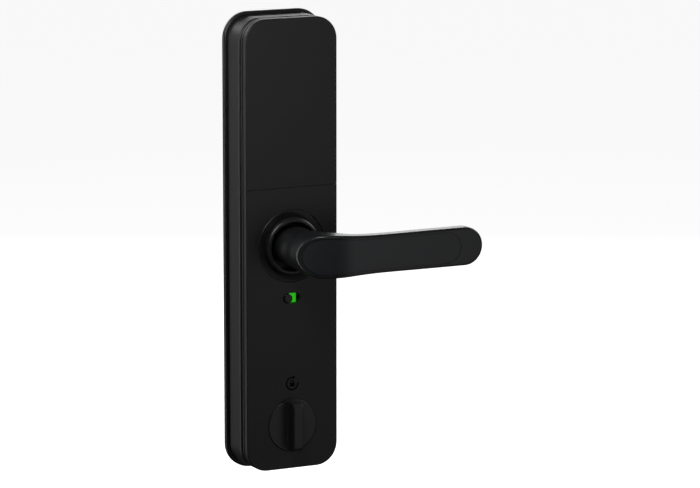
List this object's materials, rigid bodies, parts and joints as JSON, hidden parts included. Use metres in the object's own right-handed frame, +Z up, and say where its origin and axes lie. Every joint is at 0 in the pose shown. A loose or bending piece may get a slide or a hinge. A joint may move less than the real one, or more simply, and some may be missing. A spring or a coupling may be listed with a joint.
{
  "type": "keypad smart lock interior unit",
  "caption": "Room-side unit of a keypad smart lock: tall rounded plate with battery cover, lever handle, privacy slide and thumbturn.",
  "frame": {"origin": "on the lever's spindle axis, at the door's face", "axes": "X to the right seen from the room, +Y into the door along the spindle, +Z up; the lever points along +X"},
  "size_m": [0.1538, 0.1316, 0.3143],
  "materials": {
    "gasket_rubber": "matt foam rubber",
    "base_black": "black moulded plastic, satin",
    "zinc_steel": "zinc-plated steel",
    "casing_grey": "fine dark grey powder coat",
    "bezel_grey": "dark grey satin coat",
    "screw_steel": "plated",
    "tray_black": "fine spark texture",
    "board_green": "solder mask",
    "shield_can": "tinned",
    "component_black": "moulded",
    "socket_white": "nylon",
    "button_red": "moulded",
    "rose_grey": "dark grey satin coat",
    "nylon_black": "bearing plastic",
    "nylon_white": "acetal",
    "lever_grey": "dark grey satin coat",
    "lever_insert_grey": "dark grey satin coat",
    "screw_black": "black oxide",
    "zinc_cast": "bare zinc casting",
    "spring_steel": "spring steel",
    "slider_black": "satin",
    "indicator_green": "bright green print",
    "symbol_black": "print",
    "turn_grey": "dark grey satin coat",
    "cell_wrap": "printed sleeve, steel ends",
    "contact_nickel": "nickel-plated"
  },
  "bodies": {
    "casing": {"battery_cell_1": "cell_wrap", "battery_cell_2": "cell_wrap", "battery_cell_3": "cell_wrap", "battery_cell_4": "cell_wrap", "battery_cell_5": "cell_wrap", "battery_cell_6": "cell_wrap", "battery_cell_7": "cell_wrap", "battery_cell_8": "cell_wrap", "battery_spring_1": "contact_nickel", "battery_spring_2": "contact_nickel", "battery_spring_3": "contact_nickel", "battery_spring_4": "contact_nickel", "battery_tray": "tray_black", "bezel_frame": "bezel_grey", "board_capacitors": "shield_can", "board_screws": "screw_steel", "buzzer": "component_black", "cassette_screws": "screw_steel", "contact_bridge_bottom": "contact_nickel", "contact_bridge_top_left": "contact_nickel", "contact_bridge_top_right": "contact_nickel", "contact_terminal_left": "contact_nickel", "contact_terminal_right": "contact_nickel", "detent_spring": "spring_steel", "door_gasket": "gasket_rubber", "front_panel": "casing_grey", "keypad_cable_socket": "socket_white", "lever_bush": "nylon_black", "lever_return_spring": "spring_steel", "lock_symbol": "symbol_black", "main_board": "board_green", "main_housing": "casing_grey", "mortise_cable_socket": "socket_white", "mounting_plate": "zinc_steel", "panel_screws": "screw_steel", "privacy_switch": "component_black", "radio_module": "shield_can", "rear_base": "base_black", "reset_switch": "component_black", "rose_collar": "rose_grey", "rose_dish": "rose_grey", "spring_cassette": "zinc_cast", "switch_board": "board_green", "thumbturn_bush": "nylon_black", "unit_screws": "screw_steel"},
    "lever": {"lever_body": "lever_grey", "lever_grip_insert": "lever_insert_grey", "lever_set_screw": "screw_black", "lever_hub": "zinc_cast", "lever_circlip": "spring_steel", "square_spindle": "zinc_steel"},
    "thumbturn": {"thumbturn_knob": "turn_grey", "thumbturn_cam": "nylon_white", "thumbturn_circlip": "spring_steel", "thumbturn_tailpiece": "zinc_steel"},
    "privacy_slide": {"privacy_slider": "slider_black", "indicator_strip": "indicator_green"},
    "battery_cover": {"battery_cover": "casing_grey"},
    "reset_button": {"reset_button": "button_red"}
  },
  "joints": [
    {"name": "lever_turn", "type": "hinge", "parent": "casing", "child": "lever", "pos_m": [0, 0, 0], "axis": [0, 1, 0], "range_deg": [0, 50], "stiffness_Nm_per_rad": 1.5, "springref_deg": -34.38, "deforming": ["lever_return_spring"]},
    {"name": "thumbturn_turn", "type": "hinge", "parent": "casing", "child": "thumbturn", "pos_m": [0, 0, -0.1239], "axis": [0, 1, 0], "range_deg": [0, 90], "deforming": ["detent_spring"]},
    {"name": "privacy_slide_move", "type": "slide", "parent": "casing", "child": "privacy_slide", "axis": [1, 0, 0], "range_m": [0, 0.0062]},
    {"name": "battery_cover_slide", "type": "slide", "parent": "casing", "child": "battery_cover", "axis": [0, 0, 1], "range_m": [0, 0.116]},
    {"name": "reset_button_press", "type": "slide", "parent": "casing", "child": "reset_button", "axis": [0, 1, 0], "range_m": [0, 0.0006], "stiffness_N_per_m": 900, "springref_m": -0.0006}
  ]
}
